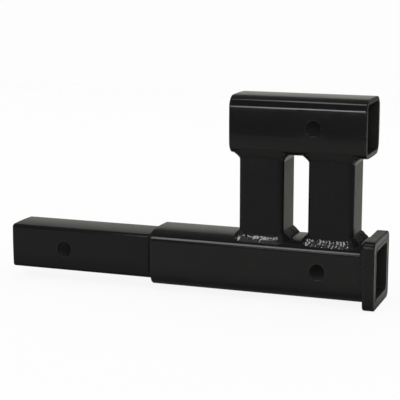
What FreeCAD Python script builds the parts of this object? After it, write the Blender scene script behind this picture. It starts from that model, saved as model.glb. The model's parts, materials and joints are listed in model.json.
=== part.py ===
import FreeCAD, Part
import math
import os

# Dual hitch adapter: a welded steel frame that turns one trailer hitch receiver into two stacked ones.
# Millimetres. The origin is the centre of the shank's pin hole. +X runs back along the shank to the
# mouths of the two receivers, +Z is up, and both sides of the XZ plane are alike.

Vector = FreeCAD.Vector

# Shank: the square tube that slides into the vehicle's own receiver
SHANK_SIDE = 50.8
SHANK_WALL = 6.35
SHANK_CORNER = 4.0
SHANK_BORE_CORNER = 2.0
SHANK_REACH = 177.8
SHANK_INSERTION = 101.6
SHANK_HOLE_SETBACK = 67.2
SHANK_CHAMFER = 1.5

# Receivers: both are cut from one size of square tube, with room inside for another shank
SOCKET_CLEARANCE = 0.8
RECEIVER_WALL = 5.55
RECEIVER_CORNER = 12.7
LOWER_LENGTH = 259.2
RISE = 156.7
LOWER_HOLE_SETBACK = 64.5
UPPER_HOLE_SETBACK = 58.0
UPPER_REAR_OVERHANG = 14.4
TUBE_CHAMFER = 0.8

# Pin holes: one size for the cross pin that locks a shank in its receiver
PIN_DIAMETER = 15.875
PIN_CLEARANCE = 0.4

# Collar: the square ring that stiffens the lower receiver's mouth
COLLAR_WALL = 6.35
COLLAR_LENGTH = 12.7
COLLAR_CORNER = 8.0
COLLAR_EDGE = 1.2

# Posts: two square tubes that carry the upper receiver
POST_SIDE = 50.8
POST_WALL = 6.35
POST_CORNER = 7.0
POST_BORE_CORNER = 3.5
POST_GAP = 27.6

# Weld beads: WELD_LAND is bare tube between two toes, WELD_MARGIN is bare metal beside a toe
POST_WELD_LEG = 7.5
POST_WELD_CORNER = 8.0
UPPER_WELD_SAG = 1.0
FLANK_WELD_RISE = 4.0
FLANK_WELD_SPREAD = 0.42
WELD_LAND = 2.5
WELD_MARGIN = 0.5
UPPER_END_LAND = 1.3

# Sizes that follow
BORE_SIDE = SHANK_SIDE + 2 * SOCKET_CLEARANCE
BORE_CORNER = SHANK_CORNER + SOCKET_CLEARANCE
RECEIVER_SIDE = BORE_SIDE + 2 * RECEIVER_WALL
COLLAR_SIDE = RECEIVER_SIDE + 2 * COLLAR_WALL
HOLE_RADIUS = PIN_DIAMETER / 2 + PIN_CLEARANCE
COLLAR_WELD_LEG = COLLAR_WALL - COLLAR_EDGE - WELD_MARGIN
SHANK_WELD_INSET = TUBE_CHAMFER + WELD_MARGIN
SHANK_WELD_LEG = SOCKET_CLEARANCE + RECEIVER_WALL - SHANK_WELD_INSET
UPPER_FRONT_OVERHANG = POST_WELD_LEG + UPPER_END_LAND

# Stations along X, from the shank's free end to the mouths
SHANK_FREE_END = -SHANK_HOLE_SETBACK
LOWER_FRONT = SHANK_FREE_END + SHANK_REACH
SHANK_INNER_END = LOWER_FRONT + SHANK_INSERTION
LOWER_REAR = LOWER_FRONT + LOWER_LENGTH
COLLAR_FRONT = LOWER_REAR - COLLAR_LENGTH
REAR_POST_REAR = COLLAR_FRONT - COLLAR_WELD_LEG - WELD_LAND - POST_WELD_LEG
REAR_POST_X = REAR_POST_REAR - POST_SIDE / 2
FRONT_POST_X = REAR_POST_X - POST_SIDE - POST_GAP
UPPER_FRONT = FRONT_POST_X - POST_SIDE / 2 - UPPER_FRONT_OVERHANG
UPPER_REAR = REAR_POST_REAR + UPPER_REAR_OVERHANG

# How far a cutting shape runs past the face that it cuts, and a bead's blank past its toes
OVERSHOOT = 20.0
WELD_OVERRUN = 0.5


def rounded_outline(half_u, half_v, corner, place):
    """Closed wire of a rectangle with round corners; place turns its two coordinates into a point."""
    edges = []
    quadrants = ((1, 1), (-1, 1), (-1, -1), (1, -1))
    for index, (sign_u, sign_v) in enumerate(quadrants):
        centre_u = sign_u * (half_u - corner)
        centre_v = sign_v * (half_v - corner)
        arc_points = []
        for eighth in (0, 1, 2):
            angle = index * math.pi / 2 + eighth * math.pi / 4
            arc_u = centre_u + corner * math.cos(angle)
            arc_v = centre_v + corner * math.sin(angle)
            arc_points.append(place(arc_u, arc_v))
        if edges:
            edges.append(Part.LineSegment(last_point, arc_points[0]).toShape())
        else:
            first_point = arc_points[0]
        edges.append(Part.Arc(*arc_points).toShape())
        last_point = arc_points[2]
    edges.append(Part.LineSegment(last_point, first_point).toShape())
    return Part.Wire(edges)


def section_at_x(x, centre_z):
    """Places an outline's coordinates in the cross-section of a bar that lies along X."""
    return lambda u, v: Vector(x, u, centre_z + v)


def section_at_y(centre_x, y, base_z):
    """Places an outline's coordinates in a plane across Y, from a point on a tube's top or bottom face."""
    return lambda u, v: Vector(centre_x + u, y, base_z + v)


def section_at_z(centre_x, z):
    """Places an outline's coordinates in the cross-section of a bar that stands along Z."""
    return lambda u, v: Vector(centre_x + u, v, z)


def lying_bar(side, corner, front, rear, centre_z):
    """Solid square bar with round corners along X."""
    outline = rounded_outline(side / 2, side / 2, corner, section_at_x(front, centre_z))
    return Part.Face(outline).extrude(Vector(rear - front, 0, 0))


def standing_bar(side, corner, centre_x, bottom, top):
    """Solid square bar with round corners along Z."""
    outline = rounded_outline(side / 2, side / 2, corner, section_at_z(centre_x, bottom))
    return Part.Face(outline).extrude(Vector(0, 0, top - bottom))


def edges_at_x(solid, x):
    """Edges of a solid that lie in the plane across X at x."""
    tolerance = 1e-6
    return [
        edge for edge in solid.Edges
        if abs(edge.BoundBox.XMin - x) < tolerance and abs(edge.BoundBox.XMax - x) < tolerance
    ]


def pin_hole(x, centre_z, across):
    """Cylinder that cuts both walls of a tube for a cross pin."""
    length = across + 2 * OVERSHOOT
    start = Vector(x, -length / 2, centre_z)
    return Part.makeCylinder(HOLE_RADIUS, length, start, Vector(0, 1, 0))


def shank_tube():
    outside = lying_bar(SHANK_SIDE, SHANK_CORNER, SHANK_FREE_END, SHANK_INNER_END, 0)
    outside = outside.makeChamfer(SHANK_CHAMFER, edges_at_x(outside, SHANK_FREE_END))
    bore_side = SHANK_SIDE - 2 * SHANK_WALL
    bore_front = SHANK_FREE_END - OVERSHOOT
    bore_rear = SHANK_INNER_END + OVERSHOOT
    bore = lying_bar(bore_side, SHANK_BORE_CORNER, bore_front, bore_rear, 0)
    return outside.cut(bore).cut(pin_hole(0, 0, SHANK_SIDE))


def receiver_tube(front, rear, centre_z, hole_x, chamfered_ends):
    outside = lying_bar(RECEIVER_SIDE, RECEIVER_CORNER, front, rear, centre_z)
    for end in chamfered_ends:
        outside = outside.makeChamfer(TUBE_CHAMFER, edges_at_x(outside, end))
    bore = lying_bar(BORE_SIDE, BORE_CORNER, front - OVERSHOOT, rear + OVERSHOOT, centre_z)
    return outside.cut(bore).cut(pin_hole(hole_x, centre_z, RECEIVER_SIDE))


def lower_receiver_tube():
    """The rear end keeps a square edge, because the collar lies flush with it."""
    hole_x = LOWER_REAR - LOWER_HOLE_SETBACK
    return receiver_tube(LOWER_FRONT, LOWER_REAR, 0, hole_x, [LOWER_FRONT])


def upper_receiver_tube():
    hole_x = UPPER_REAR - UPPER_HOLE_SETBACK
    return receiver_tube(UPPER_FRONT, UPPER_REAR, RISE, hole_x, [UPPER_FRONT, UPPER_REAR])


def receiver_collar():
    outside = lying_bar(COLLAR_SIDE, COLLAR_CORNER, COLLAR_FRONT, LOWER_REAR, 0)
    end_edges = edges_at_x(outside, COLLAR_FRONT) + edges_at_x(outside, LOWER_REAR)
    outside = outside.makeChamfer(COLLAR_EDGE, end_edges)
    seat = lying_bar(RECEIVER_SIDE, RECEIVER_CORNER, COLLAR_FRONT - OVERSHOOT, LOWER_REAR + OVERSHOOT, 0)
    return outside.cut(seat)


def post(centre_x):
    bottom = RECEIVER_SIDE / 2
    top = RISE - RECEIVER_SIDE / 2
    outside = standing_bar(POST_SIDE, POST_CORNER, centre_x, bottom, top)
    bore_side = POST_SIDE - 2 * POST_WALL
    bore = standing_bar(bore_side, POST_BORE_CORNER, centre_x, bottom - OVERSHOOT, top + OVERSHOOT)
    return outside.cut(bore)


def flank_weld_toe():
    """Where a flank's bead ends on the tube's shoulder: its reach beyond the post and its height."""
    post_half = POST_SIDE / 2
    flat_half = RECEIVER_SIDE / 2 - RECEIVER_CORNER
    root_angle = math.asin((post_half - flat_half) / RECEIVER_CORNER)
    toe_angle = root_angle + FLANK_WELD_SPREAD * (math.pi / 2 - root_angle)
    reach = flat_half + RECEIVER_CORNER * math.sin(toe_angle) - post_half
    height = -RECEIVER_CORNER * (1 - math.cos(toe_angle))
    return reach, height


def tapered_face(low_half, high_half, low, high, place):
    """Face with sloping sides, given its half width at a low and at a high level."""
    corners = [place(-low_half, low), place(low_half, low), place(high_half, high), place(-high_half, high)]
    return Part.Face(Part.makePolygon(corners + corners[:1]))


def end_hollow(centre_x, tube_face, outward, side):
    """Cylinder that hollows a bead's face at one end of a post and runs just past both of its toes."""
    half_chord = math.sqrt(2) * (POST_WELD_LEG / 2 + WELD_OVERRUN)
    radius = (half_chord ** 2 + UPPER_WELD_SAG ** 2) / (2 * UPPER_WELD_SAG)
    axis_offset = POST_WELD_LEG / 2 + (radius - UPPER_WELD_SAG) / math.sqrt(2)
    length = POST_SIDE + 2 * OVERSHOOT
    axis_x = centre_x + side * (POST_SIDE / 2 + axis_offset)
    start = Vector(axis_x, -length / 2, tube_face + outward * axis_offset)
    return Part.makeCylinder(radius, length, start, Vector(0, 1, 0))


def post_weld(centre_x, tube_centre_z, outward, hollow_ends):
    """Bead that wraps a post's end and lies over both rounded shoulders of the tube.

    Its ends lie on the tube's flat and its flanks run down to a toe on each shoulder. outward is 1 where
    the post stands on the tube and -1 where it hangs below.
    """
    tube_face = tube_centre_z + outward * RECEIVER_SIDE / 2
    toe_reach, toe_height = flank_weld_toe()
    low = toe_height - WELD_OVERRUN
    high = POST_WELD_LEG + WELD_OVERRUN
    span = POST_SIDE + 2 * OVERSHOOT
    end_face = tapered_face(
        POST_SIDE / 2 + POST_WELD_LEG - low,
        POST_SIDE / 2 + POST_WELD_LEG - high,
        outward * low,
        outward * high,
        section_at_y(centre_x, -span / 2, tube_face),
    )
    flank_lean = toe_reach / (FLANK_WELD_RISE - toe_height)
    flank_face = tapered_face(
        POST_SIDE / 2 + flank_lean * (FLANK_WELD_RISE - low),
        POST_SIDE / 2 + flank_lean * (FLANK_WELD_RISE - high),
        outward * low,
        outward * high,
        section_at_x(centre_x - span / 2, tube_face),
    )
    blank = end_face.extrude(Vector(0, span, 0)).common(flank_face.extrude(Vector(span, 0, 0)))
    corner_edges = [edge for edge in blank.Edges if edge.BoundBox.ZLength > POST_WELD_LEG]
    blank = blank.makeFillet(POST_WELD_CORNER, corner_edges)
    if hollow_ends:
        for side in (-1, 1):
            blank = blank.cut(end_hollow(centre_x, tube_face, outward, side))
    post_core = standing_bar(POST_SIDE, POST_CORNER, centre_x, tube_face - OVERSHOOT, tube_face + OVERSHOOT)
    tube_front = centre_x - span / 2
    tube_core = lying_bar(RECEIVER_SIDE, RECEIVER_CORNER, tube_front, tube_front + span, tube_centre_z)
    return blank.cut(post_core).cut(tube_core)


def step_weld(tip, base, tip_half, tip_corner, base_half, base_corner, stop_z):
    """Bead in the step between two square bars on one axis.

    It thins from base, where it lies on the larger bar's end face, to tip on the smaller bar. It runs up
    both sides and across the top, and stops at stop_z, above the bottom corners.
    """
    overrun_share = WELD_OVERRUN / (base - tip)
    outer_tip = tip - WELD_OVERRUN
    outer_half = tip_half + overrun_share * (tip_half - base_half)
    outer_corner = tip_corner + overrun_share * (tip_corner - base_corner)
    outlines = [
        rounded_outline(base_half, base_half, base_corner, section_at_x(base, 0)),
        rounded_outline(outer_half, outer_half, outer_corner, section_at_x(outer_tip, 0)),
    ]
    blank = Part.makeLoft(outlines, True, True)
    front = outer_tip - OVERSHOOT
    rear = base + OVERSHOOT
    core = lying_bar(2 * tip_half, tip_corner, front, rear, 0)
    depth = base_half + OVERSHOOT
    below = Part.makeBox(rear - front, 2 * depth, depth, Vector(front, -depth, stop_z - depth))
    return blank.cut(core).cut(below)


def shank_weld():
    return step_weld(
        tip=LOWER_FRONT - SHANK_WELD_LEG,
        base=LOWER_FRONT,
        tip_half=SHANK_SIDE / 2,
        tip_corner=SHANK_CORNER,
        base_half=RECEIVER_SIDE / 2 - SHANK_WELD_INSET,
        base_corner=RECEIVER_CORNER - SHANK_WELD_INSET,
        stop_z=SHANK_CORNER - SHANK_SIDE / 2,
    )


def collar_weld():
    return step_weld(
        tip=COLLAR_FRONT - COLLAR_WELD_LEG,
        base=COLLAR_FRONT,
        tip_half=RECEIVER_SIDE / 2,
        tip_corner=RECEIVER_CORNER,
        base_half=RECEIVER_SIDE / 2 + COLLAR_WELD_LEG,
        base_corner=RECEIVER_CORNER + COLLAR_WELD_LEG,
        stop_z=RECEIVER_CORNER - RECEIVER_SIDE / 2,
    )


pieces = {
    "shank_tube": shank_tube(),
    "lower_receiver_tube": lower_receiver_tube(),
    "receiver_collar": receiver_collar(),
    "upper_receiver_tube": upper_receiver_tube(),
    "shank_weld": shank_weld(),
    "collar_weld": collar_weld(),
}
for name, centre_x in (("front_post", FRONT_POST_X), ("rear_post", REAR_POST_X)):
    pieces[name] = post(centre_x)
    pieces[name + "_lower_weld"] = post_weld(centre_x, 0, 1, hollow_ends=False)
    pieces[name + "_upper_weld"] = post_weld(centre_x, RISE, -1, hollow_ends=True)

os.makedirs("parts", exist_ok=True)
for name, shape in pieces.items():
    shape.exportStep("parts/" + name + ".step")
    print(name, "solids", len(shape.Solids), "valid", shape.isValid(), "volume", round(shape.Volume, 1))
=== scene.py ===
import json
import math
from collections import namedtuple

import bmesh
import bpy
from mathutils import Matrix, Vector, noise


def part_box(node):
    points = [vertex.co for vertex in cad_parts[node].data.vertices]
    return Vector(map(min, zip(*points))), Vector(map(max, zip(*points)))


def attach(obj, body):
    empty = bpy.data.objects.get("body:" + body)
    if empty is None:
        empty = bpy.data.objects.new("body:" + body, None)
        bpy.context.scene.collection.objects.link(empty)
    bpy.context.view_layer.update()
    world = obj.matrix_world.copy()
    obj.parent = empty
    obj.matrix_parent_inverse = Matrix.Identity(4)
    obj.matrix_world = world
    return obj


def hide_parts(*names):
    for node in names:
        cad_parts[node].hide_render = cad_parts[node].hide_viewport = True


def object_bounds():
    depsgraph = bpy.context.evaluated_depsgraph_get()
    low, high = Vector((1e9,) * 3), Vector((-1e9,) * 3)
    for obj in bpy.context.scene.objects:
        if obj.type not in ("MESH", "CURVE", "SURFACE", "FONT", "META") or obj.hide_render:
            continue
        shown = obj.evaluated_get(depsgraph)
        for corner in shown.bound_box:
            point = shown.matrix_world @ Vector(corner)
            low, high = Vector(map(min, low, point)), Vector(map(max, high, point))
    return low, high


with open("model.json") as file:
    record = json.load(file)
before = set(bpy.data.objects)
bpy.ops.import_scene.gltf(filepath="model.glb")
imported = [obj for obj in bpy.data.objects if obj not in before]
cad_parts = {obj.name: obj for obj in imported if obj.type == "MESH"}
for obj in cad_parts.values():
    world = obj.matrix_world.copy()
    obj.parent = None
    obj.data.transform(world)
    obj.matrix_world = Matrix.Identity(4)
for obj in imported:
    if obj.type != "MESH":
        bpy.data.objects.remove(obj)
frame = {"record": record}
cad_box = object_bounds()

# Dual hitch adapter: black painted square tubes, welded. Metres, in the part's own frame: +X runs from
# the shank to the mouths of the receivers, +Y along the pin holes, +Z up.
MM = 0.001
QUARTER_TURN = math.pi / 2

# Tube sections: wall, corner radius outside and in the bore, and how much a rolled wall bows outwards, as
# the turn of its face from its middle to where the corner starts
Section = namedtuple("Section", "wall corner bow bore_corner bore_bow")
ROLLED_BOW = math.radians(2.5)
SHANK = Section(6.35 * MM, 4.0 * MM, ROLLED_BOW, 2.0 * MM, 0.0)
RECEIVER = Section(5.55 * MM, 12.7 * MM, ROLLED_BOW, 4.8 * MM, 0.0)
COLLAR = Section(6.35 * MM, 8.0 * MM, 0.0, RECEIVER.corner, RECEIVER.bow)
POST = Section(6.35 * MM, 7.0 * MM, 0.0, 3.5 * MM, 0.0)

# Rounded rims of the sawn ends, outside and in the bore, at the front and at the rear
Rims = namedtuple("Rims", "front_outside rear_outside front_bore rear_bore")
SHANK_RIMS = Rims(1.5 * MM, 0.4 * MM, 0.6 * MM, 0.4 * MM)
LOWER_RIMS = Rims(0.8 * MM, 0.0, 0.4 * MM, 0.7 * MM)
UPPER_RIMS = Rims(0.8 * MM, 0.8 * MM, 0.6 * MM, 0.6 * MM)
COLLAR_RIMS = Rims(1.2 * MM, 1.2 * MM, 0.0, 0.0)
POST_RIMS = Rims(0.0, 0.0, 0.0, 0.0)
HOLE_RIM = 0.8 * MM
RIM_CELLS = 4

# Rubbed paint: how far it spreads from a rim, and its share on a rim, at the rim's edge and inside a hole
RUB_WIDTH = 1.6 * MM
RIM_RUB, EDGE_RUB, HOLE_RUB = 1.0, 0.6, 0.3

# How far paint from the spray gun drifts into an open end, and its share at the inner edge of a pin hole
SPRAY_REACH = 30.0 * MM
HOLE_SPRAY = 0.3

# How finely outlines are divided: a side's flat, a corner's arc, and a bead from toe to toe
FLAT_CELLS = 12
CORNER_CELLS = 12
BEAD_FLAT_CELLS = 96
BEAD_CORNER_CELLS = 26
BEAD_ACROSS_CELLS = 14

# Shading: how much a tube's flat walls weigh against its corners, and the turn at which a bead is sharp
FLAT_WALL_WEIGHT = 60
SHARP_TOE = math.radians(55)

# Order of the finishes on a tube and on a post weld, the walls of a lying tube that the pin goes through,
# and the angle from a hole to the first corner of the patch round it
SKIN_FINISH, BORE_FINISH, MOUTH_FINISH = 0, 1, 2
END_FINISH, FLANK_FINISH = 0, 1
NEAR_WALL, FAR_WALL = 1, 3
PATCH_CORNER = 3 * math.pi / 4

# Weld beads round the posts: rise on the post and reach over the tube at the post's ends and flanks, how
# far the face stands out (or sinks in) between its toes, ripple height and pitch, how far the toes wander,
# and how calm the ripples are towards the post
Bead = namedtuple(
    "Bead", "end_rise end_reach flank_rise flank_reach end_crown flank_crown ripple pitch wander calm")
REAR_LOWER_BEAD = Bead(
    7.5 * MM, 7.5 * MM, 4.7 * MM, 3.5 * MM, 0.2 * MM, 0.9 * MM, 0.55 * MM, 3.8 * MM, 0.7 * MM, 0.0)
FRONT_LOWER_BEAD = REAR_LOWER_BEAD._replace(flank_crown=1.25 * MM, calm=0.65)
UPPER_BEAD = Bead(
    7.5 * MM, 7.3 * MM, 3.6 * MM, 3.9 * MM, -1.0 * MM, 0.3 * MM, 0.18 * MM, 2.6 * MM, 0.25 * MM, 0.0)

# Weld beads in the steps: leg, corner radius of the outer toe, crown, ripple height and pitch, toe wander
StepBead = namedtuple("StepBead", "leg toe_corner crown ripple pitch wander")
SHANK_BEAD = StepBead(5.05 * MM, 11.4 * MM, 0.3 * MM, 0.35 * MM, 3.0 * MM, 0.4 * MM)
COLLAR_BEAD = StepBead(4.65 * MM, 17.35 * MM, 0.2 * MM, 0.3 * MM, 3.0 * MM, 0.3 * MM)

# Faces of the beads: a crest off the middle, scales that bow and drift, a root sunk in the corner, and the
# ends of the step beads, which taper to a stub
CREST_SKEW = 0.75
RIPPLE_BOW = 0.55
RIPPLE_DRIFT = 0.35
RIPPLE_DRIFT_SCALE = 90
RIPPLE_ROUNDING = 0.8
RIPPLE_MIDDLE = 0.5
ROOT_SINK = 0.4 * MM
END_TAPER = 4.0 * MM
END_STUB = 0.1

# Slow unevenness of the beads: size of its lumps, and its share of the wander or of the ripple height
Lumps = namedtuple("Lumps", "size share")
TOE_LUMPS = Lumps(7 * MM, 0.6)
UPPER_TOE_LUMPS = Lumps(5 * MM, 0.5)
POST_FACE_LUMPS = Lumps(2.6 * MM, 0.9)
STEP_FACE_LUMPS = Lumps(4 * MM, 0.5)
UPPER_TOE_SHIFT = Vector((0, 0, 1))

# Start of each lower bead: a round blob with a crater, near the post's front corner
BLOB_SETBACK = 8.2 * MM
BLOB_OUT = 1.0 * MM
BLOB_UP = 1.8 * MM
BLOB_RADIUS = 2.7 * MM
BLOB_HEIGHT = 2.0 * MM
BLOB_TOE_SPREAD = 1.6
BLOB_TOE_RISE = 0.8 * MM
CRATER_RADIUS = 0.9 * MM
CRATER_DEPTH = 0.9 * MM

# Camera: the photograph's own view
CAMERA_PLACE = Vector((0.65577, -1.36744, 0.34945))
CAMERA_AZIMUTH = math.radians(19.949)
CAMERA_ELEVATION = math.radians(11.084)
CAMERA_ROLL = math.radians(-0.043)
CAMERA_LENS = 117.6

PIN_HOLES = {mount["name"]: mount for mount in frame["record"]["mounts"] if mount["kind"] == "bore"}


# Outlines and meshes

class Profile:
    """Outline of a square bar with round corners; its walls may bow outwards between them."""

    def __init__(self, half, corner, bow):
        self.half = half
        self.corner = corner
        self.bow = bow
        self.corner_centre = half - corner
        self.flat_half = self.corner_centre + corner * math.sin(bow)
        self.crest = self.corner_centre + corner * math.cos(bow) + self.flat_half * math.tan(bow / 2)

    def inset(self, depth):
        return Profile(self.half - depth, self.corner - depth, self.bow)

    def level(self, across):
        """How far a wall's face, or the corner past it, lies from the axis, at a place across the wall."""
        across = abs(across)
        if across > self.flat_half:
            past = min(across - self.corner_centre, self.corner)
            return self.corner_centre + math.sqrt(self.corner ** 2 - past ** 2)
        if self.bow:
            bow_radius = self.flat_half / math.sin(self.bow)
            return self.crest - bow_radius + math.sqrt(bow_radius ** 2 - across ** 2)
        return self.half

    def outline(self, flat_cells, corner_cells):
        """Points and outward normals, counter-clockwise, each corner followed by the wall after it."""
        outline = []
        for quadrant in range(4):
            turn = Matrix.Rotation(quadrant * QUARTER_TURN, 2)
            centre = Vector((self.corner_centre, self.corner_centre))
            for cell in range(corner_cells + 1):
                angle = self.bow + (QUARTER_TURN - 2 * self.bow) * cell / corner_cells
                normal = Vector((math.cos(angle), math.sin(angle)))
                outline.append((turn @ (centre + self.corner * normal), turn @ normal))
            for cell in range(1, flat_cells):
                share = 1 - 2 * cell / flat_cells
                angle = QUARTER_TURN - self.bow * share
                across = self.flat_half * share
                normal = Vector((math.cos(angle), math.sin(angle)))
                outline.append((turn @ Vector((across, self.level(across))), turn @ normal))
        return outline


def flat_start(wall, flat_cells, corner_cells):
    """Index of an outline's first point on a wall's flat; walls 0 to 3 face +q, -p, -q and +p."""
    return wall * (flat_cells + corner_cells) + corner_cells


class Draft:
    """Points and faces of a piece, gathered ring by ring before they become a mesh."""

    def __init__(self):
        self.points = []
        self.rubs = []
        self.sprays = []
        self.faces = []
        self.finishes = []

    def ring(self, points, rub=0.0, spray=1.0):
        first = len(self.points)
        self.points.extend(points)
        self.rubs.extend([rub] * len(points))
        self.sprays.extend([spray] * len(points))
        return list(range(first, len(self.points)))

    def bridge(self, ring, next_ring, finish=0, skip=()):
        count = len(ring)
        for index in range(count):
            if index in skip:
                continue
            after = (index + 1) % count
            self.faces.append((ring[index], ring[after], next_ring[after], next_ring[index]))
            self.finishes.append(finish)

    def cap(self, ring):
        self.faces.append(tuple(ring))
        self.finishes.append(END_FINISH)

    def piece(self, name, materials):
        mesh = bpy.data.meshes.new(name)
        mesh.from_pydata(self.points, [], self.faces)
        for material in materials:
            mesh.materials.append(material)
        mesh.polygons.foreach_set("material_index", self.finishes)
        mesh.attributes.new("rub", "FLOAT", "POINT").data.foreach_set("value", self.rubs)
        mesh.attributes.new("spray", "FLOAT", "POINT").data.foreach_set("value", self.sprays)
        shell = bmesh.new()
        shell.from_mesh(mesh)
        bmesh.ops.recalc_face_normals(shell, faces=shell.faces)
        shell.to_mesh(mesh)
        shell.free()
        mesh.shade_smooth()
        piece = bpy.data.objects.new(name, mesh)
        bpy.context.scene.collection.objects.link(piece)
        return piece


def rim_turn(radius):
    """Setback and inset of each step round a rim, from the end face to the skin."""
    if radius == 0:
        return [(0.0, 0.0)]
    steps = []
    for cell in range(RIM_CELLS + 1):
        angle = QUARTER_TURN * (1 - cell / RIM_CELLS)
        steps.append((radius * (1 - math.sin(angle)), radius * (1 - math.cos(angle))))
    return steps


def skin_rings(front, rear, front_rim, rear_rim, stations):
    """Place, inset and rub of each ring along one skin of a tube, from its front end to its rear end."""
    front_steps = rim_turn(front_rim)
    rear_steps = reversed(rim_turn(rear_rim))
    rings = [(front + setback, inset, RIM_RUB if inset else EDGE_RUB) for setback, inset in front_steps]
    rings.append((front + front_rim + RUB_WIDTH, 0.0, 0.0))
    rings.extend((station, 0.0, 0.0) for station in stations)
    rings.append((rear - rear_rim - RUB_WIDTH, 0.0, 0.0))
    rings.extend((rear - setback, inset, RIM_RUB if inset else EDGE_RUB) for setback, inset in rear_steps)
    return rings


def tube_skin(draft, profile, inward, front, rear, front_rim, rear_rim, stations, place):
    """Rings of points along one skin of a tube, from its front end to its rear end."""
    rings = []
    for along, inset, rub in skin_rings(front, rear, front_rim, rear_rim, stations):
        outline = profile.inset(inward * inset).outline(FLAT_CELLS, CORNER_CELLS)
        from_end = min(along - front, rear - along)
        spray = max(0.0, 1.0 - from_end / SPRAY_REACH)
        rings.append(draft.ring([place(along, *point) for point, _ in outline], rub, spray))
    return rings


def square_tube(draft, front, rear, half, section, rims, place, hole=None):
    """Square tube with round corners and rounded rims, and a cross-pin hole through two of its walls.

    place turns a length along the tube and two coordinates across it into a point.
    """
    outside = Profile(half, section.corner, section.bow)
    bore = Profile(half - section.wall, section.bore_corner, section.bore_bow)
    stations = []
    if hole:
        reach = outside.flat_half
        stations = [hole["along"] + reach * (2 * cell / FLAT_CELLS - 1) for cell in range(FLAT_CELLS + 1)]
    outer = tube_skin(draft, outside, 1, front, rear, rims.front_outside, rims.rear_outside, stations, place)
    inner = tube_skin(draft, bore, -1, front, rear, rims.front_bore, rims.rear_bore, stations, place)
    outer_first = len(rim_turn(rims.front_outside)) + 1
    inner_first = len(rim_turn(rims.front_bore)) + 1
    patches = {wall: flat_start(wall, FLAT_CELLS, CORNER_CELLS) for wall in (NEAR_WALL, FAR_WALL)}
    patch_cells = {start + cell for start in patches.values() for cell in range(FLAT_CELLS)}
    for rings, first, finish in ((outer, outer_first, SKIN_FINISH), (inner, inner_first, BORE_FINISH)):
        for index in range(len(rings) - 1):
            in_patch = hole and first <= index < first + FLAT_CELLS
            draft.bridge(rings[index], rings[index + 1], finish, patch_cells if in_patch else ())
    draft.bridge(outer[0], inner[0], MOUTH_FINISH)
    draft.bridge(outer[-1], inner[-1], MOUTH_FINISH)
    if hole:
        outer_patch = outer[outer_first:outer_first + FLAT_CELLS + 1]
        inner_patch = inner[inner_first:inner_first + FLAT_CELLS + 1]
        for wall, start in patches.items():
            loops = patch_loop(outer_patch, start), patch_loop(inner_patch, start)
            pin_hole(draft, loops, wall, outside, section.wall, hole, place)


def patch_loop(rings, start):
    """Points round the square patch of a wall that a pin hole fills, as one loop."""
    across = [(start + cell) % len(rings[0]) for cell in range(FLAT_CELLS + 1)]
    loop = [ring[across[0]] for ring in rings[:-1]]
    loop.extend(rings[-1][index] for index in across[:-1])
    loop.extend(ring[across[-1]] for ring in reversed(rings[1:]))
    loop.extend(rings[0][index] for index in reversed(across[1:]))
    return loop


def pin_hole(draft, loops, wall, outside, thickness, hole, place):
    """Round hole with rounded edges through one wall, joined to the wall's outer and inner patch."""
    outward = -1 if wall == NEAR_WALL else 1
    count = 4 * FLAT_CELLS
    inner_face = outside.half - thickness
    steps = [(HOLE_RIM + RUB_WIDTH, 0.0, 0.0, True)]
    steps.extend((inset, -setback, RIM_RUB, True) for setback, inset in rim_turn(HOLE_RIM))
    steps.extend((inset, setback, HOLE_RUB, False) for setback, inset in reversed(rim_turn(HOLE_RIM)))
    last = loops[0]
    for widening, rise, rub, in_outer_face in steps:
        radius = hole["radius"] + widening
        points = []
        for index in range(count):
            angle = outward * (2 * math.pi * index / count - PATCH_CORNER)
            along = hole["along"] + radius * math.cos(angle)
            across = hole["across"] + radius * math.sin(angle)
            level = rise + (outside.level(across) if in_outer_face else inner_face)
            points.append(place(along, outward * level, across))
        ring = draft.ring(points, rub, 1.0 if in_outer_face else HOLE_SPRAY)
        draft.bridge(last, ring, SKIN_FINISH if in_outer_face else BORE_FINISH)
        last = ring
    draft.bridge(last, loops[1], BORE_FINISH)


def lying(axis_z):
    """Places a tube's coordinates along X, with its axis at a height."""
    return lambda along, p, q: Vector((along, p, axis_z + q))


def standing(centre_x):
    """Places a tube's coordinates along Z."""
    return lambda along, p, q: Vector((centre_x + p, q, along))


def hole_of(name, axis_z):
    """A pin hole's place along its tube, its height off the axis and its radius, from the part's record."""
    mount = PIN_HOLES[name]
    return {
        "along": mount["pos_m"][0],
        "across": mount["pos_m"][2] - axis_z,
        "radius": mount["dims"]["r_mm"] * MM,
    }


def dress(piece, node):
    """Rides a piece on the part in place of its node."""
    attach(piece, "root")
    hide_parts(node)


def add_tube(node, section, rims, materials, hole=None, upright=False):
    """Tube in place of a node, with its size and place from that node."""
    low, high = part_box(node)
    draft = Draft()
    half = (high.y - low.y) / 2
    if upright:
        place = standing((low.x + high.x) / 2)
        square_tube(draft, low.z, high.z, half, section, rims, place)
    else:
        axis_z = (low.z + high.z) / 2
        found = hole_of(hole, axis_z) if hole else None
        square_tube(draft, low.x, high.x, half, section, rims, lying(axis_z), found)
    piece = draft.piece("painted_" + node, materials)
    weights = piece.modifiers.new("flat_walls", "WEIGHTED_NORMAL")
    weights.weight = FLAT_WALL_WEIGHT
    dress(piece, node)
    return piece


# Weld beads

def ripple_height(turns, across, place):
    """Height, 0 to 1, of the overlapping scales of a bead; they bow back between the two toes."""
    drift = RIPPLE_DRIFT * noise.noise(place * RIPPLE_DRIFT_SCALE)
    phase = turns + drift + RIPPLE_BOW * (2 * across - 1) ** 2
    return abs(math.sin(math.pi * phase)) ** RIPPLE_ROUNDING


def lump(place, lumps):
    """Slow unevenness of a bead, up or down by as much as its share."""
    return lumps.share * noise.noise(place / lumps.size)


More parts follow.
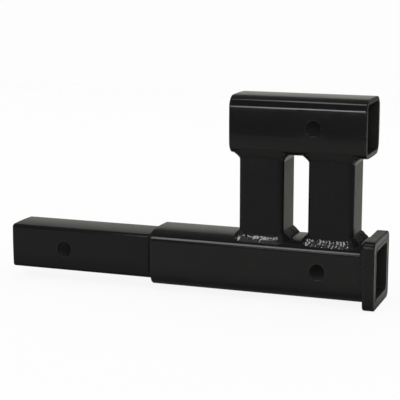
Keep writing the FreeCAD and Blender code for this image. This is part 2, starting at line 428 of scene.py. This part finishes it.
def bead_face(upper_toe, lower_toe, outward, crown, swell):
    """Points of a bead's face from toe to toe; swell adds to the crown at a share of the way across."""
    face = []
    for cell in range(BEAD_ACROSS_CELLS + 1):
        share = cell / BEAD_ACROSS_CELLS
        chord_point = upper_toe.lerp(lower_toe, share)
        skewed = share ** CREST_SKEW
        bow = 4 * skewed * (1 - skewed)
        face.append(chord_point + outward * (crown * bow + swell(share, chord_point) * math.sqrt(bow)))
    return face


def square_to(slope, side):
    """Direction out of a bead's face: its side direction, turned square to the slope from toe to toe."""
    direction = side - slope * side.dot(slope)
    direction.normalize()
    return direction


def outline_lengths(outline):
    """Distance along a closed outline to each of its points, and right round it."""
    lengths = [0.0]
    for index in range(len(outline)):
        here = outline[index][0]
        after = outline[(index + 1) % len(outline)][0]
        lengths.append(lengths[-1] + (after - here).length)
    return lengths[:-1], lengths[-1]


def bead_piece(draft, node, materials):
    """Mesh of a weld bead in place of its node, with sharp toes."""
    piece = draft.piece("bead_" + node, materials)
    piece.data.set_sharp_from_angle(angle=SHARP_TOE)
    dress(piece, node)
    return piece


def add_post_weld(node, post_node, tube_z, outward, bead, materials, blob):
    """Bead round a post's end: on the tube's flat at the post's ends, over its shoulders at the flanks."""
    low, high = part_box(post_node)
    centre_x = (low.x + high.x) / 2
    half = (high.x - low.x) / 2
    outline = Profile(half, POST.corner, POST.bow).outline(BEAD_FLAT_CELLS, BEAD_CORNER_CELLS)
    lengths, girth = outline_lengths(outline)
    turns_round = round(girth / bead.pitch)
    tube_face = tube_z + outward * RECEIVER_PROFILE.half
    blob_place = Vector((centre_x - half + BLOB_SETBACK, -half - BLOB_OUT, tube_face + BLOB_UP))
    blob_toe = BLOB_TOE_SPREAD * BLOB_RADIUS
    draft = Draft()
    rings = []
    for (point, normal), length in zip(outline, lengths):
        turns = turns_round * length / girth
        side = Vector((normal.x, normal.y, 0.0))
        foot = Vector((centre_x + point.x, point.y, tube_face))
        end_share = normal.x ** 2
        flank_share = normal.y ** 2
        toe_scales = ripple_height(turns, 1.0, foot) - RIPPLE_MIDDLE
        toe_wander = bead.wander * (toe_scales + lump(foot, TOE_LUMPS))
        top_wander = bead.wander * lump(foot + UPPER_TOE_SHIFT, UPPER_TOE_LUMPS)
        near_blob = math.exp(-((foot - blob_place).length / blob_toe) ** 2) if blob else 0.0
        rise = bead.end_rise * end_share + bead.flank_rise * flank_share + top_wander
        rise += BLOB_TOE_RISE * near_blob
        reach = bead.end_reach * end_share + bead.flank_reach * flank_share + toe_wander
        upper_toe = foot + Vector((0, 0, outward * rise))
        lower_toe = foot + side * reach
        lower_toe.z = tube_z + outward * RECEIVER_PROFILE.level(lower_toe.y)
        face_normal = square_to((lower_toe - upper_toe).normalized(), side)
        crown = bead.end_crown * end_share + bead.flank_crown * flank_share

        def swell(share, place):
            scales = ripple_height(turns, share, foot) - RIPPLE_MIDDLE + lump(place, POST_FACE_LUMPS)
            height = bead.ripple * scales * (1 - bead.calm * math.sqrt(1 - share))
            if blob:
                gap = (place - blob_place).length
                height += BLOB_HEIGHT * math.exp(-(gap / BLOB_RADIUS) ** 2)
                height -= CRATER_DEPTH * math.exp(-(gap / CRATER_RADIUS) ** 2)
            return height

        face = bead_face(upper_toe, lower_toe, face_normal, crown, swell)
        root = foot - side * ROOT_SINK
        root.z = tube_z + outward * (RECEIVER_PROFILE.level(foot.y) - ROOT_SINK)
        rings.append(draft.ring(face + [root]))
    for ring, next_ring, (_, normal) in zip(rings, rings[1:] + rings[:1], outline):
        draft.bridge(ring, next_ring, FLANK_FINISH if abs(normal.y) > abs(normal.x) else END_FINISH)
    return bead_piece(draft, node, materials)


def add_step_weld(node, bar, step_x, bead, materials):
    """Bead in the step in front of a larger bar's end face, up both sides and across the top."""
    cells = (BEAD_FLAT_CELLS, BEAD_CORNER_CELLS)
    inner = bar.outline(*cells)
    outer = Profile(bar.half + bead.leg, bead.toe_corner, bar.bow).outline(*cells)
    start = flat_start(FAR_WALL, *cells)
    stop = flat_start(NEAR_WALL, *cells) + BEAD_FLAT_CELLS
    path = list(range(start, len(inner))) + list(range(stop + 1))
    girth = sum((inner[b][0] - inner[a][0]).length for a, b in zip(path, path[1:]))
    draft = Draft()
    rings = []
    travelled = 0.0
    for step, index in enumerate(path):
        point, normal = inner[index]
        if step:
            travelled += (point - inner[path[step - 1]][0]).length
        turns = travelled / bead.pitch
        side = Vector((0.0, normal.x, normal.y))
        foot = Vector((step_x, point.x, point.y))
        to_end = min(travelled, girth - travelled)
        size = math.sqrt(min(1.0, END_STUB + to_end / END_TAPER))
        toe_scales = ripple_height(turns, 0.0, foot) - RIPPLE_MIDDLE
        toe_wander = bead.wander * (toe_scales + lump(foot, TOE_LUMPS))
        tip = foot + Vector((-bead.leg * size + toe_wander, 0, 0))
        outer_point = Vector((step_x, outer[index][0].x, outer[index][0].y))
        crest = foot.lerp(outer_point, size)
        face_normal = square_to((crest - tip).normalized(), side)

        def swell(share, place):
            scales = ripple_height(turns, share, foot) - RIPPLE_MIDDLE
            return bead.ripple * (scales + lump(place, STEP_FACE_LUMPS))

        face = bead_face(tip, crest, face_normal, bead.crown, swell)
        root = foot - side * ROOT_SINK + Vector((ROOT_SINK, 0, 0))
        rings.append(draft.ring(face + [root]))
    for ring, next_ring in zip(rings, rings[1:]):
        draft.bridge(ring, next_ring)
    draft.cap(rings[0])
    draft.cap(rings[-1])
    return bead_piece(draft, node, materials)


# Finishes

# Noise in a finish: scale, detail, roughness, and the range of it that becomes none to full
Grain = namedtuple("Grain", "scale detail roughness low high")
GLOSS_GRAIN = Grain(38.0, 3.0, 0.55, 0.3, 0.7)
MILL_GRAIN = Grain(1.0, 3.0, 0.6, 0.3, 0.7)
RUB_GRAIN = Grain(260.0, 4.0, 0.65, 0.42, 0.62)
DUST_AND_SHEEN_GRAIN = Grain(90.0, 5.0, 0.7, 0.35, 0.75)
PEEL_SCALE, PEEL_DETAIL, PEEL_ROUGHNESS = 700.0, 1.5, 0.5
# Dust with a painted sheen on faces that look up: the slope where it starts, and its least share between
# patches
DUST_AND_SHEEN_SLOPE, THIN_DUST_AND_SHEEN = 0.55, 0.35

# Inputs and outputs of Blender's Mix node, for numbers and for colours
MIX_FIRST_NUMBER, MIX_SECOND_NUMBER, MIX_NUMBER = 2, 3, 0
MIX_FIRST_COLOUR, MIX_SECOND_COLOUR, MIX_COLOUR = 6, 7, 2


def add_node(tree, kind, **settings):
    node = tree.nodes.new(kind)
    for name, value in settings.items():
        setattr(node, name, value)
    return node


def new_group(name, inputs, outputs):
    """Empty shader node group; inputs are name, type and default, outputs are name and type."""
    group = bpy.data.node_groups.new(name, "ShaderNodeTree")
    for label, kind, default in inputs:
        socket = group.interface.new_socket(name=label, in_out="INPUT", socket_type=kind)
        if default is not None:
            socket.default_value = default
    for label, kind in outputs:
        group.interface.new_socket(name=label, in_out="OUTPUT", socket_type=kind)
    return group, add_node(group, "NodeGroupInput"), add_node(group, "NodeGroupOutput")


def noise_node(tree, vector, scale, detail, roughness):
    node = add_node(tree, "ShaderNodeTexNoise")
    node.inputs["Scale"].default_value = scale
    node.inputs["Detail"].default_value = detail
    node.inputs["Roughness"].default_value = roughness
    tree.links.new(vector, node.inputs["Vector"])
    return node


def math_node(tree, operation, first, second):
    node = add_node(tree, "ShaderNodeMath", operation=operation)
    for socket, value in zip(node.inputs, (first, second)):
        if isinstance(value, (int, float)):
            socket.default_value = value
        else:
            tree.links.new(value, socket)
    return node.outputs[0]


def range_node(tree, value, from_low, from_high, to_low, to_high):
    node = add_node(tree, "ShaderNodeMapRange")
    tree.links.new(value, node.inputs["Value"])
    node.inputs["From Min"].default_value = from_low
    node.inputs["From Max"].default_value = from_high
    node.inputs["To Min"].default_value = to_low
    node.inputs["To Max"].default_value = to_high
    return node.outputs["Result"]


def grain_node(tree, vector, grain, least=0.0):
    """Noise as a mask, from its least value to 1."""
    node = noise_node(tree, vector, grain.scale, grain.detail, grain.roughness)
    return range_node(tree, node.outputs["Fac"], grain.low, grain.high, least, 1.0)


def colour_mix(tree, share, first, second):
    node = add_node(tree, "ShaderNodeMix", data_type="RGBA")
    tree.links.new(share, node.inputs["Factor"])
    for index, colour in ((MIX_FIRST_COLOUR, first), (MIX_SECOND_COLOUR, second)):
        if isinstance(colour, tuple):
            node.inputs[index].default_value = (*colour, 1.0)
        else:
            tree.links.new(colour, node.inputs[index])
    return node.outputs[MIX_COLOUR]


def paint_peel_group():
    """Orange peel of sprayed paint: a fine height, and slow patches of more and less gloss."""
    group, entry, leave = new_group(
        "paint_peel",
        [("Vector", "NodeSocketVector", None), ("Peel Scale", "NodeSocketFloat", PEEL_SCALE)],
        [("Height", "NodeSocketFloat"), ("Patch", "NodeSocketFloat")],
    )
    peel = noise_node(group, entry.outputs["Vector"], PEEL_SCALE, PEEL_DETAIL, PEEL_ROUGHNESS)
    group.links.new(entry.outputs["Peel Scale"], peel.inputs["Scale"])
    group.links.new(peel.outputs["Fac"], leave.inputs["Height"])
    group.links.new(grain_node(group, entry.outputs["Vector"], GLOSS_GRAIN), leave.inputs["Patch"])
    return group


def mill_lines_group():
    """Fine lines that the rolls leave along a tube; Stretch is small along the tube and large across it."""
    group, entry, leave = new_group(
        "mill_lines",
        [("Vector", "NodeSocketVector", None), ("Stretch", "NodeSocketVector", ALONG_X)],
        [("Lines", "NodeSocketFloat")],
    )
    stretched = add_node(group, "ShaderNodeVectorMath", operation="MULTIPLY")
    group.links.new(entry.outputs["Vector"], stretched.inputs[0])
    group.links.new(entry.outputs["Stretch"], stretched.inputs[1])
    group.links.new(grain_node(group, stretched.outputs[0], MILL_GRAIN), leave.inputs["Lines"])
    return group


def edge_rub_group():
    """Where rims and hole edges have lost some paint, broken up by noise."""
    group, entry, leave = new_group(
        "edge_rub",
        [("Vector", "NodeSocketVector", None)],
        [("Rub", "NodeSocketFloat")],
    )
    rim = add_node(group, "ShaderNodeAttribute", attribute_name="rub")
    broken = grain_node(group, entry.outputs["Vector"], RUB_GRAIN)
    group.links.new(math_node(group, "MULTIPLY", rim.outputs["Fac"], broken), leave.inputs["Rub"])
    return group


def dust_and_sheen_group():
    """Dust on faces that look up, thicker in patches; its lighter colour also paints a sheen on those faces.
    """
    group, entry, leave = new_group(
        "dust_and_painted_sheen",
        [("Vector", "NodeSocketVector", None)],
        [("Dust And Sheen", "NodeSocketFloat")],
    )
    surface = add_node(group, "ShaderNodeNewGeometry")
    parts = add_node(group, "ShaderNodeSeparateXYZ")
    group.links.new(surface.outputs["Normal"], parts.inputs[0])
    upward = range_node(group, parts.outputs["Z"], DUST_AND_SHEEN_SLOPE, 1.0, 0.0, 1.0)
    patchy = grain_node(group, entry.outputs["Vector"], DUST_AND_SHEEN_GRAIN, THIN_DUST_AND_SHEEN)
    group.links.new(math_node(group, "MULTIPLY", upward, patchy), leave.inputs["Dust And Sheen"])
    return group


# A paint finish: roughness where it is glossy and where it is dull, orange peel scale and height, mill
# line stretch and height, the colours of thick and thin paint, how strongly it mirrors, and how far it gives
# way to bare steel where the spray didn't reach
Paint = namedtuple(
    "Paint", "glossy dull peel_scale peel lines_stretch lines thick thin specular bare", defaults=[0.0])
BLACK_THICK = (0.0044, 0.0043, 0.0050)
BLACK_THIN = (0.0062, 0.0060, 0.0066)
# Painted light: the posts' black is lighter than the tubes' black, to brighten the posts' faces
POST_PAINTED_LIGHT_THICK = (0.0084, 0.0082, 0.0088)
POST_PAINTED_LIGHT_THIN = (0.0104, 0.0102, 0.0106)
# Painted light: the collar bead's black is lighter than the tubes' black, so the bead in the step doesn't
# show dark
BEAD_PAINTED_LIGHT_THICK = (0.0125, 0.0125, 0.0125)
BEAD_PAINTED_LIGHT_THIN = (0.0155, 0.0155, 0.0150)
# Painted light in the bores: their black is lighter than the outside black, and the bare steel deeper in is
# lighter still, which also brightens the dark inside
BORE_PAINTED_LIGHT_THICK = (0.016, 0.016, 0.0145)
BORE_PAINTED_LIGHT_THIN = (0.021, 0.021, 0.019)
BARE_STEEL_AND_PAINTED_LIGHT = (0.12, 0.12, 0.115)
RUBBED = (0.030, 0.030, 0.027)
# Olive of the dust, which also paints a sheen on faces that look up
DUSTY_SHEEN = (0.030, 0.031, 0.026)
ALONG_X = (3.0, 320.0, 320.0)
ALONG_Z = (320.0, 320.0, 3.0)
FINISHES = {
    "shank_black_paint": Paint(0.13, 0.18, 620.0, 0.04, ALONG_X, 0.05, BLACK_THICK, BLACK_THIN, 0.25),
    "receiver_black_paint": Paint(0.09, 0.13, 680.0, 0.03, ALONG_X, 0.04, BLACK_THICK, BLACK_THIN, 0.31),
    "post_black_painted_light": Paint(0.20, 0.28, 640.0, 0.05, ALONG_Z, 0.07, POST_PAINTED_LIGHT_THICK, POST_PAINTED_LIGHT_THIN, 0.15),
    "collar_black_paint": Paint(0.18, 0.30, 380.0, 0.32, ALONG_X, 0.03, BLACK_THICK, BLACK_THIN, 0.30),
    "mouth_dull_paint": Paint(0.13, 0.22, 380.0, 0.24, ALONG_X, 0.03, BLACK_THICK, BLACK_THIN, 0.15),
    "bead_end_paint": Paint(0.20, 0.30, 900.0, 0.10, ALONG_X, 0.0, BLACK_THICK, BLACK_THIN, 0.18),
    "collar_bead_painted_light": Paint(0.24, 0.34, 900.0, 0.10, ALONG_X, 0.0, BEAD_PAINTED_LIGHT_THICK, BEAD_PAINTED_LIGHT_THIN, 0.20),
    "bead_flank_paint": Paint(0.10, 0.19, 900.0, 0.08, ALONG_X, 0.0, BLACK_THICK, BLACK_THIN, 0.72),
    "bead_sheen_paint": Paint(0.14, 0.26, 900.0, 0.08, ALONG_X, 0.0, BLACK_THICK, BLACK_THIN, 1.0),
    "bead_dull_paint": Paint(0.30, 0.42, 900.0, 0.08, ALONG_X, 0.0, BLACK_THICK, BLACK_THIN, 0.30),
    "upper_bore_painted_light": Paint(0.45, 0.62, 500.0, 0.10, ALONG_X, 0.10, BORE_PAINTED_LIGHT_THICK, BORE_PAINTED_LIGHT_THIN, 0.06, 0.5),
    "bore_black_painted_light": Paint(0.45, 0.62, 500.0, 0.10, ALONG_X, 0.10, BORE_PAINTED_LIGHT_THICK, BORE_PAINTED_LIGHT_THIN, 0.08, 1.0),
}

# Share of spray that covers the steel, how much rubbing and dust with its painted sheen show and dull the
# paint, and its bump
FULL_COVER = 0.7
RUB_SHOWS, RUB_DULLS = 0.35, 0.10
DUST_AND_SHEEN_SHOWS, DUST_DULLS = 0.35, 0.06
BUMP_STRENGTH, BUMP_DISTANCE = 0.6, 0.4 * MM

PEEL = paint_peel_group()
MILL = mill_lines_group()
RUB = edge_rub_group()
DUST_AND_SHEEN = dust_and_sheen_group()


def painted_steel(name):
    """Black paint over steel, from its row in FINISHES."""
    paint = FINISHES[name]
    material = bpy.data.materials.new(name)
    material.use_nodes = True
    tree = material.node_tree
    shader = tree.nodes["Principled BSDF"]
    place = add_node(tree, "ShaderNodeTexCoord").outputs["Object"]
    effects = {}
    for group in (PEEL, MILL, RUB, DUST_AND_SHEEN):
        effect = add_node(tree, "ShaderNodeGroup", node_tree=group)
        tree.links.new(place, effect.inputs["Vector"])
        effects[group.name] = effect
    peel = effects["paint_peel"]
    mill = effects["mill_lines"]
    rub = effects["edge_rub"].outputs["Rub"]
    dust_and_sheen = effects["dust_and_painted_sheen"].outputs["Dust And Sheen"]
    peel.inputs["Peel Scale"].default_value = paint.peel_scale
    mill.inputs["Stretch"].default_value = paint.lines_stretch
    thin = math_node(tree, "MULTIPLY", mill.outputs["Lines"], peel.outputs["Patch"])
    colour = colour_mix(tree, thin, paint.thick, paint.thin)
    spray = add_node(tree, "ShaderNodeAttribute", attribute_name="spray")
    # Bare steel where the spray didn't reach, lighter than the paint, which also paints light into the bores
    bare_and_painted_light = range_node(tree, spray.outputs["Fac"], 0.0, FULL_COVER, paint.bare, 0.0)
    colour = colour_mix(tree, bare_and_painted_light, colour, BARE_STEEL_AND_PAINTED_LIGHT)
    colour = colour_mix(tree, math_node(tree, "MULTIPLY", rub, RUB_SHOWS), colour, RUBBED)
    # Dust and painted sheen: faces that look up are lighter and olive
    colour = colour_mix(tree, math_node(tree, "MULTIPLY", dust_and_sheen, DUST_AND_SHEEN_SHOWS), colour, DUSTY_SHEEN)
    tree.links.new(colour, shader.inputs["Base Color"])
    rough = range_node(tree, peel.outputs["Patch"], 0.0, 1.0, paint.glossy, paint.dull)
    rough = math_node(tree, "ADD", rough, math_node(tree, "MULTIPLY", rub, RUB_DULLS))
    rough = math_node(tree, "ADD", rough, math_node(tree, "MULTIPLY", dust_and_sheen, DUST_DULLS))
    tree.links.new(rough, shader.inputs["Roughness"])
    height = math_node(tree, "MULTIPLY", peel.outputs["Height"], paint.peel)
    height = math_node(tree, "ADD", height, math_node(tree, "MULTIPLY", mill.outputs["Lines"], paint.lines))
    bump = add_node(tree, "ShaderNodeBump")
    bump.inputs["Strength"].default_value = BUMP_STRENGTH
    bump.inputs["Distance"].default_value = BUMP_DISTANCE
    tree.links.new(height, bump.inputs["Height"])
    tree.links.new(bump.outputs["Normal"], shader.inputs["Normal"])
    shader.inputs["Specular IOR Level"].default_value = paint.specular
    return material


# The part

paints = {name: painted_steel(name) for name in FINISHES}
receiver_black = paints["receiver_black_paint"]
collar_black = paints["collar_black_paint"]
bore_painted_light = paints["bore_black_painted_light"]
shank_paint = [paints["shank_black_paint"], bore_painted_light, paints["shank_black_paint"]]
lower_paint = [receiver_black, bore_painted_light, collar_black]
upper_paint = [receiver_black, paints["upper_bore_painted_light"], paints["mouth_dull_paint"]]
collar_paint = [collar_black, collar_black, collar_black]
post_paint = [paints["post_black_painted_light"], bore_painted_light, bore_painted_light]
bead_paint = [paints["bead_end_paint"], paints["bead_flank_paint"]]
upper_bead_paint = [paints["bead_sheen_paint"], paints["bead_dull_paint"]]
collar_bead_painted_light = [paints["collar_bead_painted_light"]]

shank_low, shank_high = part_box("shank_tube")
lower_low, lower_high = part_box("lower_receiver_tube")
upper_low, upper_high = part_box("upper_receiver_tube")
collar_low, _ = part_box("receiver_collar")
SHANK_PROFILE = Profile((shank_high.y - shank_low.y) / 2, SHANK.corner, SHANK.bow)
RECEIVER_PROFILE = Profile((lower_high.y - lower_low.y) / 2, RECEIVER.corner, RECEIVER.bow)
lower_z = (lower_low.z + lower_high.z) / 2
upper_z = (upper_low.z + upper_high.z) / 2

shank_tube = add_tube("shank_tube", SHANK, SHANK_RIMS, shank_paint, "shank_pin_hole")
lower_tube = add_tube("lower_receiver_tube", RECEIVER, LOWER_RIMS, lower_paint, "lower_receiver_pin_hole")
collar = add_tube("receiver_collar", COLLAR, COLLAR_RIMS, collar_paint)
shank_weld = add_step_weld("shank_weld", SHANK_PROFILE, lower_low.x, SHANK_BEAD, bead_paint)
collar_weld = add_step_weld("collar_weld", RECEIVER_PROFILE, collar_low.x, COLLAR_BEAD, collar_bead_painted_light)
upper_tube = add_tube("upper_receiver_tube", RECEIVER, UPPER_RIMS, upper_paint, "upper_receiver_pin_hole")
foot_welds = []
for post, lower_bead in (("front_post", FRONT_LOWER_BEAD), ("rear_post", REAR_LOWER_BEAD)):
    add_tube(post, POST, POST_RIMS, post_paint, upright=True)
    foot_weld = add_post_weld(post + "_lower_weld", post, lower_z, 1, lower_bead, bead_paint, blob=True)
    foot_welds.append(foot_weld)
    add_post_weld(post + "_upper_weld", post, upper_z, -1, UPPER_BEAD, upper_bead_paint, blob=False)


# Floor, light and camera

# A white table with a low white backdrop behind it, in a dim room: the paint mirrors the table, the backdrop
# and the strips, and little else
TABLE_LOW = Vector((-2.6, -0.94))
TABLE_HIGH = Vector((0.632, 1.8))
TABLE_CLEARANCE = 0.2 * MM
BACKDROP_LEFT, BACKDROP_RIGHT, BACKDROP_TOP = -1.9, 0.45, 0.56
ROOM_LOW = Vector((-3.0, -2.6))
ROOM_HIGH = Vector((2.4, 2.1))
ROOM_FLOOR, ROOM_CEILING = -0.75, 2.4
ROOM_GREY = (0.17, 0.17, 0.17, 1.0)
STUDIO_WHITE = (0.9, 0.9, 0.9, 1.0)
PLAIN_WHITE = (1.0, 1.0, 1.0)
STUDIO_GLOW = 0.9
MIRRORED_LEVEL = 0.44
MIRRORED_TINT = (0.98, 1.0, 0.88)

# Painted shade round the part's foot, in the table's glow that the paint mirrors: where it starts in front
# of the part, where it ends behind, and how much light is left at the part's near side
SHADE_FRONT, SHADE_BACK, SHADE_LEVEL = -0.125, 0.06, 0.35

# Strip lights: place, the point that each one faces, width, height, watts and spread
Strip = namedtuple("Strip", "place aim width height watts spread", defaults=[180.0])
LOWER_STRIP = Strip((-0.04, -0.79, 0.44), (0.235, -0.03, 0.03), 0.42, 0.26, 1.95)
UPPER_STRIP = Strip((0.01, -1.03, 0.272), (0.27, -0.03, 0.185), 0.32, 0.17, 0.017, 16.0)
HOLE_STRIP = Strip((0.51, -0.92, 0.41), (0.305, -0.03, 0.08), 0.12, 0.12, 0.9)
BLOB_STRIP = Strip((-0.43, -0.62, 0.28), (0.26, -0.03, 0.03), 0.42, 0.42, 3.0)
TOP_STRIP = Strip((0.02, -0.29, 1.27), (0.29, -0.03, 0.18), 0.36, 0.20, 0.9)


def studio_white():
    """Pale surface, white to the camera, that keeps a soft shadow; what mirrors it sees it dimmer, with
    painted shade.
    """
    material = bpy.data.materials.new("studio_white")
    material.use_nodes = True
    tree = material.node_tree
    tree.nodes.clear()
    path = add_node(tree, "ShaderNodeLightPath")
    camera = path.outputs["Is Camera Ray"]
    mirrored = math_node(tree, "MAXIMUM", path.outputs["Is Glossy Ray"], path.outputs["Is Transmission Ray"])
    seen = math_node(tree, "MAXIMUM", camera, mirrored)
    place = add_node(tree, "ShaderNodeSeparateXYZ")
    tree.links.new(add_node(tree, "ShaderNodeNewGeometry").outputs["Position"], place.inputs[0])
    # Painted shade: the mirrored glow is darker in front of and under the part
    before = range_node(tree, place.outputs["Y"], SHADE_FRONT, cad_box[0].y, 1.0, SHADE_LEVEL)
    behind = range_node(tree, place.outputs["Y"], cad_box[0].y, SHADE_BACK, 0.0, 1.0)
    shaded = math_node(tree, "MAXIMUM", before, behind)
    level = math_node(tree, "MULTIPLY", shaded, MIRRORED_LEVEL)
    matte = add_node(tree, "ShaderNodeBsdfDiffuse")
    matte.inputs["Color"].default_value = STUDIO_WHITE
    glow = add_node(tree, "ShaderNodeEmission")
    tint = colour_mix(tree, mirrored, PLAIN_WHITE, MIRRORED_TINT)
    tree.links.new(tint, glow.inputs["Color"])
    strength = add_node(tree, "ShaderNodeMix", data_type="FLOAT")
    strength.inputs[MIX_FIRST_NUMBER].default_value = 1.0
    tree.links.new(mirrored, strength.inputs["Factor"])
    tree.links.new(level, strength.inputs[MIX_SECOND_NUMBER])
    tree.links.new(strength.outputs[MIX_NUMBER], glow.inputs["Strength"])
    mix = add_node(tree, "ShaderNodeMixShader")
    leave = add_node(tree, "ShaderNodeOutputMaterial")
    tree.links.new(math_node(tree, "MULTIPLY", seen, STUDIO_GLOW), mix.inputs[0])
    tree.links.new(matte.outputs[0], mix.inputs[1])
    tree.links.new(glow.outputs[0], mix.inputs[2])
    tree.links.new(mix.outputs[0], leave.inputs["Surface"])
    return material


def room_grey():
    """Matte grey of the dim room."""
    material = bpy.data.materials.new("room_grey")
    material.use_nodes = True
    tree = material.node_tree
    tree.nodes.clear()
    matte = add_node(tree, "ShaderNodeBsdfDiffuse")
    matte.inputs["Color"].default_value = ROOM_GREY
    leave = add_node(tree, "ShaderNodeOutputMaterial")
    tree.links.new(matte.outputs[0], leave.inputs["Surface"])
    return material


def add_stage(name, corners, faces, material):
    """Piece of the studio, which isn't part of the object."""
    mesh = bpy.data.meshes.new(name)
    mesh.from_pydata(corners, [], faces)
    mesh.materials.append(material)
    stage = bpy.data.objects.new(name, mesh)
    bpy.context.scene.collection.objects.link(stage)
    return stage


def add_studio():
    """Table, backdrop and dim room; the world itself is plain white."""
    white = studio_white()
    level = cad_box[0].z - TABLE_CLEARANCE
    low, high = TABLE_LOW, TABLE_HIGH
    table = [(low.x, low.y, level), (high.x, low.y, level), (high.x, high.y, level), (low.x, high.y, level)]
    add_stage("studio_table", table, [(0, 1, 2, 3)], white)
    backdrop = [
        (BACKDROP_LEFT, high.y, level),
        (BACKDROP_RIGHT, high.y, level),
        (BACKDROP_RIGHT, high.y, BACKDROP_TOP),
        (BACKDROP_LEFT, high.y, BACKDROP_TOP),
    ]
    add_stage("studio_backdrop", backdrop, [(0, 1, 2, 3)], white)
    low, high = ROOM_LOW, ROOM_HIGH
    ring = [(low.x, low.y), (high.x, low.y), (high.x, high.y), (low.x, high.y)]
    room_corners = [(x, y, z) for z in (ROOM_FLOOR, ROOM_CEILING) for x, y in ring]
    room_faces = [(0, 1, 5, 4), (1, 2, 6, 5), (2, 3, 7, 6), (3, 0, 4, 7), (4, 5, 6, 7), (0, 1, 2, 3)]
    room = add_stage("dim_room", room_corners, room_faces, room_grey())
    room.visible_camera = False
    room.visible_diffuse = False
    room.visible_shadow = False
    world = bpy.data.worlds.new("white_world")
    world.use_nodes = True
    background = world.node_tree.nodes["Background"]
    background.inputs["Color"].default_value = (*PLAIN_WHITE, 1.0)
    bpy.context.scene.world = world


def add_strip(name, strip, lit=()):
    """Strip light that the camera doesn't see; it can be kept to the pieces that it is meant to light."""
    lamp = bpy.data.lights.new(name, "AREA")
    lamp.shape = "RECTANGLE"
    lamp.size = strip.width
    lamp.size_y = strip.height
    lamp.energy = strip.watts
    lamp.spread = math.radians(strip.spread)
    light = bpy.data.objects.new(name, lamp)
    light.location = strip.place
    light.rotation_euler = (Vector(strip.aim) - Vector(strip.place)).to_track_quat("-Z", "Y").to_euler()
    light.visible_camera = False
    bpy.context.scene.collection.objects.link(light)
    if lit:
        light.light_linking.receiver_collection = bpy.data.collections.new("lit_by_" + name)
        for piece in lit:
            light.light_linking.receiver_collection.objects.link(piece)


def add_camera():
    """Camera at the photograph's viewing angle."""
    flat = math.cos(CAMERA_ELEVATION)
    back = Vector((
        math.sin(CAMERA_AZIMUTH) * flat,
        -math.cos(CAMERA_AZIMUTH) * flat,
        math.sin(CAMERA_ELEVATION),
    ))
    right = Vector((math.cos(CAMERA_AZIMUTH), math.sin(CAMERA_AZIMUTH), 0.0))
    up = back.cross(right)
    turned_right = math.cos(CAMERA_ROLL) * right + math.sin(CAMERA_ROLL) * up
    turned_up = math.cos(CAMERA_ROLL) * up - math.sin(CAMERA_ROLL) * right
    camera = bpy.data.objects.new("photo_camera", bpy.data.cameras.new("photo_camera"))
    camera.data.lens = CAMERA_LENS
    turn = Matrix((turned_right, turned_up, back)).transposed()
    camera.matrix_world = Matrix.Translation(CAMERA_PLACE) @ turn.to_4x4()
    bpy.context.scene.collection.objects.link(camera)
    bpy.context.scene.camera = camera


add_studio()
add_strip("lower_strip", LOWER_STRIP, [shank_tube, lower_tube, collar, shank_weld, collar_weld] + foot_welds)
add_strip("upper_strip", UPPER_STRIP)
add_strip("hole_strip", HOLE_STRIP, [upper_tube, lower_tube])
add_strip("blob_strip", BLOB_STRIP, foot_welds)
add_strip("top_strip", TOP_STRIP, [upper_tube, collar])
add_camera()
bpy.context.scene.view_settings.view_transform = "Standard"
